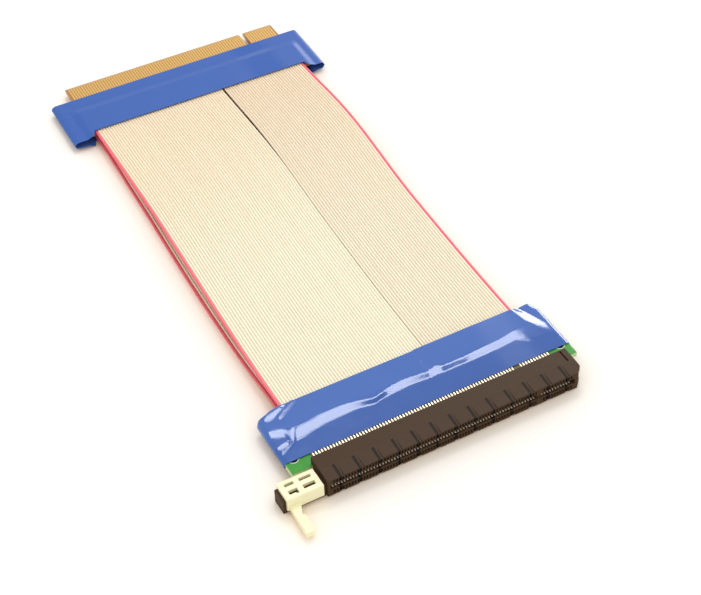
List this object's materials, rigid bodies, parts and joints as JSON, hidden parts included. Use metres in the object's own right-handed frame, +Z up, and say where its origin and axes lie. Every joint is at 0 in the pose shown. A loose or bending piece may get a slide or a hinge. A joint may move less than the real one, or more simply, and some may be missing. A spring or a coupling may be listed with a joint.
{
  "type": "gpu riser cable",
  "caption": "Flat ribbon extender cable with a graphics card slot and retention clip on one end, a gold-fingered card edge on the other, and blue tape round both boards.",
  "frame": {"origin": "under the middle of the whole cable, on the surface it lies on", "axes": "+Y along the cable from the slot to the card edge, +Z up from the table, +X towards the slot's short contact group"},
  "size_m": [0.1126, 0.2328, 0.0075],
  "materials": {
    "slot_moulding": "moulded, satin",
    "clip_moulding": "moulded, satin",
    "green_laminate": "lacquered laminate",
    "blue_tape": "glossy film, creased",
    "ribbon_insulation": "extruded, satin",
    "gold_edge": "laminate with gold-plated fingers"
  },
  "bodies": {
    "root": {"slot_housing": "slot_moulding", "retention_clip": "clip_moulding", "slot_board": "green_laminate", "slot_tape": "blue_tape", "ribbon_upper_wide": "ribbon_insulation", "ribbon_upper_narrow": "ribbon_insulation", "ribbon_lower_wide": "ribbon_insulation", "ribbon_lower_narrow": "ribbon_insulation", "edge_board": "gold_edge", "edge_tape": "blue_tape"}
  },
  "joints": []
}
